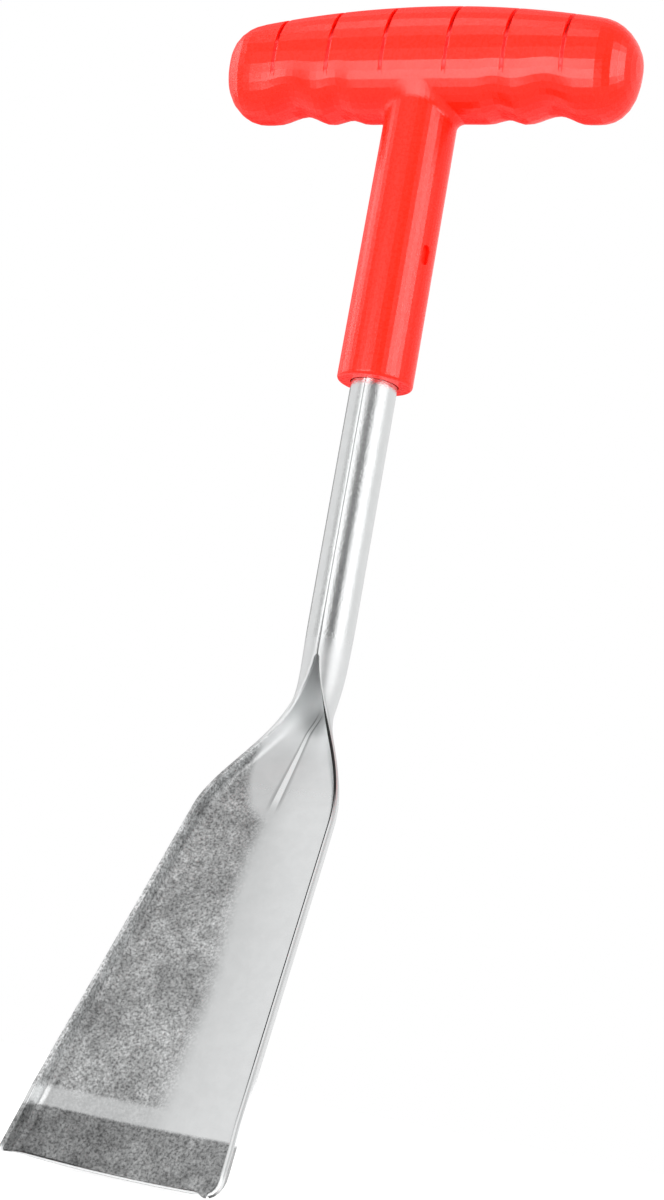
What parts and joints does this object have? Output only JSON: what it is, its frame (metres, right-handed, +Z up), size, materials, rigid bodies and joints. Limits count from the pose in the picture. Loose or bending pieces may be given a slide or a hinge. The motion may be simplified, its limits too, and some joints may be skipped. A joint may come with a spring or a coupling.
{
  "type": "hand shovel",
  "caption": "Short hand shovel with a pressed steel scoop blade rolled into its own tubular shank, set in the socket of a moulded red plastic T-grip.",
  "frame": {"origin": "centre of the assembly's box at its bottom, level with the digging edge", "axes": "+Z up along the shank to the handle, X along the T-grip, -Y the way the blade's concave side faces"},
  "size_m": [0.133, 0.089, 0.3521],
  "materials": {
    "red_plastic": "moulded, semi-gloss",
    "plated_steel": "bright zinc-plated sheet with rolling marks"
  },
  "bodies": {
    "root": {"blade_and_shank": "plated_steel", "t_handle": "red_plastic"}
  },
  "joints": []
}
